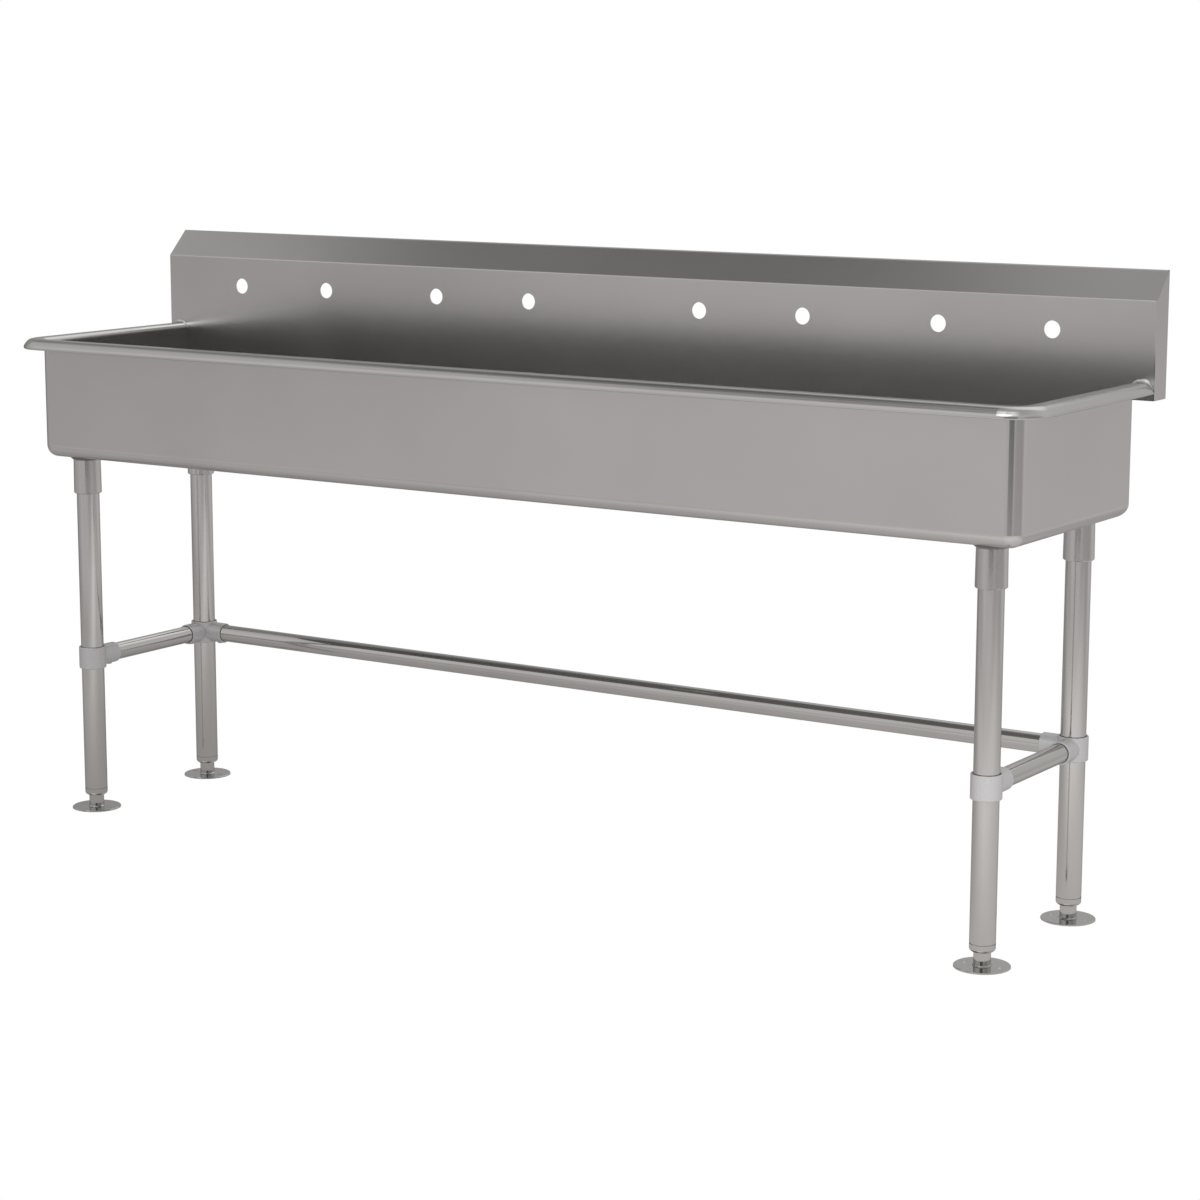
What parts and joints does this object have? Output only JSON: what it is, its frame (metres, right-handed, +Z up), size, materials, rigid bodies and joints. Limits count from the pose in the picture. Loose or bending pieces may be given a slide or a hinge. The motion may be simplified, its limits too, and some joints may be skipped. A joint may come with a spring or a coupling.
{
  "type": "trough sink",
  "caption": "Floor-standing stainless trough sink with rolled rim, boxed backsplash with faucet hole pairs, tube legs, lower rails and adjustable flanged feet.",
  "frame": {"origin": "on the floor, under the centre of the sink's bounding box", "axes": "+X along the sink, +Y from the user's side to the backsplash, +Z up"},
  "size_m": [2.032, 0.488, 1.0508],
  "materials": {
    "sheet_steel": "brushed, long grain",
    "cast_steel": "satin cast",
    "tube_steel": "polished along the tube",
    "turned_steel": "turned",
    "polished_steel": "polished",
    "screw_steel": "plain machined",
    "drain_steel": "satin",
    "black_rubber": "matte",
    "red_fibre": "pressed fibre"
  },
  "bodies": {
    "sink": {"trough": "sheet_steel", "backsplash": "sheet_steel", "splash_end_cap_left": "sheet_steel", "splash_end_cap_right": "sheet_steel", "socket_pad_front_left": "sheet_steel", "socket_pad_front_right": "sheet_steel", "socket_pad_rear_left": "sheet_steel", "socket_pad_rear_right": "sheet_steel", "leg_socket_front_left": "cast_steel", "leg_socket_front_right": "cast_steel", "leg_socket_rear_left": "cast_steel", "leg_socket_rear_right": "cast_steel", "leg_front_left": "tube_steel", "leg_front_right": "tube_steel", "leg_rear_left": "tube_steel", "leg_rear_right": "tube_steel", "tee_fitting_left": "cast_steel", "tee_fitting_right": "cast_steel", "corner_fitting_left": "cast_steel", "corner_fitting_right": "cast_steel", "side_rail_left": "tube_steel", "side_rail_right": "tube_steel", "rear_rail": "tube_steel", "socket_set_screws": "screw_steel", "fitting_set_screws": "screw_steel", "foot_insert_front_left": "turned_steel", "foot_insert_front_right": "turned_steel", "foot_insert_rear_left": "turned_steel", "foot_insert_rear_right": "turned_steel", "drain_body": "drain_steel", "drain_gasket": "black_rubber", "drain_friction_washer": "red_fibre", "drain_locknut": "drain_steel"},
    "foot_front_left": {"foot_stem_front_left": "turned_steel", "foot_flange_front_left": "polished_steel"},
    "foot_front_right": {"foot_stem_front_right": "turned_steel", "foot_flange_front_right": "polished_steel"},
    "foot_rear_left": {"foot_stem_rear_left": "turned_steel", "foot_flange_rear_left": "polished_steel"},
    "foot_rear_right": {"foot_stem_rear_right": "turned_steel", "foot_flange_rear_right": "polished_steel"},
    "strainer": {"strainer_basket": "drain_steel", "strainer_stopper": "black_rubber", "strainer_post": "drain_steel"}
  },
  "joints": [
    {"name": "foot_front_left_height", "type": "slide", "parent": "sink", "child": "foot_front_left", "axis": [0, 0, -1], "range_m": [-0.0127, 0.0127]},
    {"name": "foot_front_right_height", "type": "slide", "parent": "sink", "child": "foot_front_right", "axis": [0, 0, -1], "range_m": [-0.0127, 0.0127]},
    {"name": "foot_rear_left_height", "type": "slide", "parent": "sink", "child": "foot_rear_left", "axis": [0, 0, -1], "range_m": [-0.0127, 0.0127]},
    {"name": "foot_rear_right_height", "type": "slide", "parent": "sink", "child": "foot_rear_right", "axis": [0, 0, -1], "range_m": [-0.0127, 0.0127]},
    {"name": "strainer_lift", "type": "slide", "parent": "sink", "child": "strainer", "axis": [0, 0, 1], "range_m": [0, 0.25]}
  ]
}
